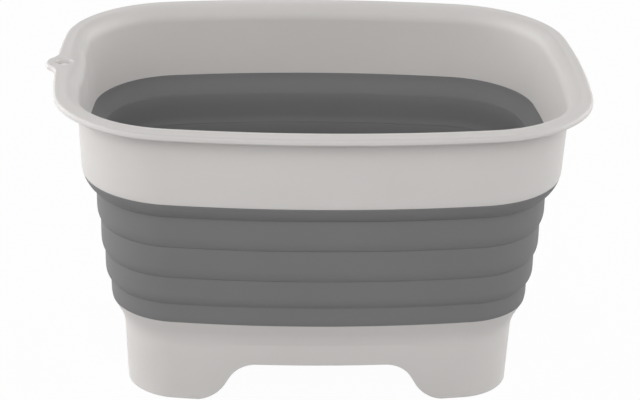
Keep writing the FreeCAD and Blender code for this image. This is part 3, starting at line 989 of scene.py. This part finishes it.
@dataclass
class DrainPlug:
    """Push-in plug with an upright grip, and the soft seal on its body."""

    floor_height: float = 38.4
    rest_gap: float = 0.3
    flange_radius: float = 26.0
    flange_thickness: float = 2.6
    body_radius: float = 17.15
    body_depth: float = 9.0
    wall: float = 2.2
    grip_half_length: float = 17.0
    grip_height: float = 13.0
    grip_thickness: float = 5.0
    grip_end_round: float = 8.0
    bore_round: float = 1.0
    body_round: float = 0.6
    seat_round: float = 0.5
    flange_round: float = 1.2
    grip_foot_round: float = 0.5
    grip_edge_round: float = 1.6
    seal_rounds: tuple[float, float, float] = (0.2, 0.3, 0.25)
    seal_band: float = 1.2
    seal_reach: float = 19.7
    seal_top_drop: float = 1.4
    seal_lip_height: float = 2.4
    bond_gap: float = 0.05
    columns: int = 128

    def build(self) -> None:
        """Builds and dresses the plug and its seal."""
        seat = self.floor_height + self.rest_gap
        top, foot = seat + self.flange_thickness, seat - self.body_depth
        inside = self.body_radius - self.wall
        section = rounded([
            (0.0, seat, 0.0),
            (inside, seat, self.bore_round),
            (inside, foot, self.body_round),
            (self.body_radius, foot, self.body_round),
            (self.body_radius, seat, self.seat_round),
            (self.flange_radius, seat, self.seat_round),
            (self.flange_radius, top, self.flange_round),
            (0.0, top, 0.0),
        ], steps=7)
        rise, sunk = top + self.grip_height, top - self.flange_thickness / 2
        half = self.grip_half_length
        edge = rounded([
            (half, sunk, self.grip_foot_round),
            (half, rise, self.grip_end_round),
            (-half, rise, self.grip_end_round),
            (-half, sunk, self.grip_foot_round),
        ], steps=15)
        grip = pillow(edge, self.grip_thickness, self.grip_edge_round)
        plug = grid_object("drain_plug_skin", turned(section, self.columns), grip)
        dress(plug, LIGHT_PLASTIC, Body.PLUG, Slot.PLUG, "drain_plug")
        inner = self.body_radius + self.bond_gap
        band = inner + self.seal_band
        high = seat - self.seal_top_drop
        lip = self.seal_lip_height
        root, crook, tip = self.seal_rounds
        seal = rounded([
            (inner, high - 3 * lip, root),
            (band, high - 3 * lip, crook),
            (self.seal_reach, high - 2 * lip, tip),
            (band, high - 2 * lip, root),
            (band, high - lip, crook),
            (self.seal_reach, high, tip),
            (inner, high, root),
        ])
        thing = grid_object("plug_seal_skin", turned(seal, self.columns))
        dress(thing, SEAL_RUBBER, Body.PLUG, Slot.SEAL, "plug_seal")


# Studio


@dataclass(frozen=True)
class SoftLight:
    """Square soft light aimed at the bowl.

    Attributes:
        name: Lamp name.
        place: Position in metres.
        power: Power in watts.
        size: Side of the square in metres.
    """

    name: str
    place: tuple[float, float, float]
    power: float
    size: float = 1.6

    def build(self, aim: Vector) -> bpy.types.Object:
        """The lamp, turned towards a point.

        Args:
            aim: Point that it shines at.

        Returns:
            The lamp object.
        """
        data = bpy.data.lights.new(self.name, "AREA")
        data.shape = "SQUARE"
        data.size = self.size
        data.energy = self.power
        lamp = bpy.data.objects.new(self.name, data)
        lamp.location = self.place
        lamp.rotation_euler = (aim - Vector(self.place)).to_track_quat("-Z", "Y").to_euler()
        bpy.context.collection.objects.link(lamp)
        return lamp


@dataclass
class Studio:
    """White background, pale floor, soft lights and the camera of the photograph."""

    floor_half: float = 6.0
    floor_glow: float = 0.97
    floor_shade: float = 0.6
    lights: list[SoftLight] = field(default_factory=lambda: [
        SoftLight("left_side_light", (-2.2, 0.1, 1.25), 14.5),
        SoftLight("left_edge_light", (-1.6, 0.45, 0.25), 23.6),
        SoftLight("left_back_light", (-1.7, 1.4, 1.2), 18.2),
        SoftLight("right_side_light", (2.2, 0.1, 1.25), 13.3),
        SoftLight("right_edge_light", (1.6, 0.45, 0.25), 15.0),
        SoftLight("right_back_light", (1.7, 1.4, 1.2), 21.0),
        SoftLight("front_light", (0.0, -2.8, 1.4), 14.5),
        SoftLight("front_high_light", (0.0, -2.1, 1.9), 21.2),
        SoftLight("front_left_light", (-1.4, -2.2, 1.4), 16.4),
        SoftLight("front_right_light", (1.4, -2.2, 1.4), 9.6),
    ])
    light_aim: tuple[float, float, float] = (0.0, 0.0, 0.11)
    aim: tuple[float, float, float] = (0.0, 0.0, 100.0)
    azimuth: float = -3.0975
    elevation: float = 24.023
    roll: float = 1.42
    distance: float = 1500.0
    focal_pixels: float = 1989.09
    middle: tuple[float, float] = (316.94, 219.386)
    sensor_width: float = 36.0

    def build(self) -> None:
        """Builds world, floor, lights and camera."""
        self.world()
        self.floor()
        for light in self.lights:
            light.build(Vector(self.light_aim))
        self.camera()

    def world(self) -> None:
        """White for what the camera and reflections see, no light on the object."""
        world = bpy.data.worlds.new("studio")
        bpy.context.scene.world = world
        world.use_nodes = True
        tree = world.node_tree
        back = next(n for n in tree.nodes if n.type == "BACKGROUND")
        back.inputs["Color"].default_value = (1, 1, 1, 1)
        tree.links.new(self.seen(tree), back.inputs["Strength"])

    @staticmethod
    def seen(tree: bpy.types.NodeTree) -> bpy.types.NodeSocket:
        """One for what is looked at, reflected or seen through glass, zero for light on surfaces.

        Args:
            tree: Node tree to add to.

        Returns:
            The socket with that value.
        """
        path = tree.nodes.new("ShaderNodeLightPath")
        total = path.outputs["Is Camera Ray"]
        for ray in ("Is Glossy Ray", "Is Transmission Ray"):
            most = tree.nodes.new("ShaderNodeMath")
            most.operation = "MAXIMUM"
            tree.links.new(total, most.inputs[0])
            tree.links.new(path.outputs[ray], most.inputs[1])
            total = most.outputs[0]
        return total

    def floor(self) -> None:
        """Pale floor that looks white and still takes the bowl's shadow."""
        half = self.floor_half
        mesh = bpy.data.meshes.new("floor")
        corners = [(-half, -half, 0), (half, -half, 0), (half, half, 0), (-half, half, 0)]
        mesh.from_pydata(corners, [], [(0, 1, 2, 3)])
        floor = bpy.data.objects.new("floor", mesh)
        bpy.context.collection.objects.link(floor)
        made = bpy.data.materials.new("pale_floor")
        made.use_nodes = True
        tree = made.node_tree
        link = tree.links.new
        tree.nodes.clear()
        out = tree.nodes.new("ShaderNodeOutputMaterial")
        matt = tree.nodes.new("ShaderNodeBsdfDiffuse")
        matt.inputs["Color"].default_value = (self.floor_shade, self.floor_shade, self.floor_shade, 1)
        glow = tree.nodes.new("ShaderNodeEmission")
        glow.inputs["Color"].default_value = (1, 1, 1, 1)
        mix = tree.nodes.new("ShaderNodeMixShader")
        share = tree.nodes.new("ShaderNodeMath")
        share.operation = "MULTIPLY"
        share.inputs[1].default_value = self.floor_glow
        link(self.seen(tree), share.inputs[0])
        link(share.outputs[0], mix.inputs["Fac"])
        link(matt.outputs["BSDF"], mix.inputs[1])
        link(glow.outputs["Emission"], mix.inputs[2])
        link(mix.outputs["Shader"], out.inputs["Surface"])
        mesh.materials.append(made)

    def camera(self) -> None:
        """Camera at the photograph's place, angle, focal length and principal point."""
        turn, rise, roll = (math.radians(a) for a in (self.azimuth, self.elevation, self.roll))
        back = Vector((math.sin(turn) * math.cos(rise), -math.cos(turn) * math.cos(rise), math.sin(rise)))
        flat = Vector((math.cos(turn), math.sin(turn), 0))
        upward = back.cross(flat)
        right = flat * math.cos(roll) + upward * math.sin(roll)
        up = upward * math.cos(roll) - flat * math.sin(roll)
        place = (Vector(self.aim) + back * self.distance) * MM
        data = bpy.data.cameras.new("camera")
        data.sensor_width = self.sensor_width
        data.lens = self.focal_pixels * data.sensor_width / IMAGE_WIDTH
        data.shift_x = (IMAGE_WIDTH / 2 - self.middle[0]) / IMAGE_WIDTH
        data.shift_y = (self.middle[1] - IMAGE_HEIGHT / 2) / IMAGE_WIDTH
        camera = bpy.data.objects.new("camera", data)
        turned_by = Matrix((right, up, back)).transposed()
        camera.matrix_world = Matrix.Translation(place) @ turned_by.to_4x4()
        bpy.context.collection.objects.link(camera)
        bpy.context.scene.camera = camera


def main() -> None:
    """Loads the frame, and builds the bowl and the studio."""
    logging.basicConfig(level=logging.INFO, format="%(message)s")
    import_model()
    bpy.context.scene.view_settings.view_transform = "Standard"
    outline = Outline()
    wall = SoftWall(outline)
    wall.build()
    RimFrame(outline, wall).build()
    BaseTray(outline, wall).build()
    DrainPlug().build()
    Studio().build()


if __name__ == "__main__":
    main()
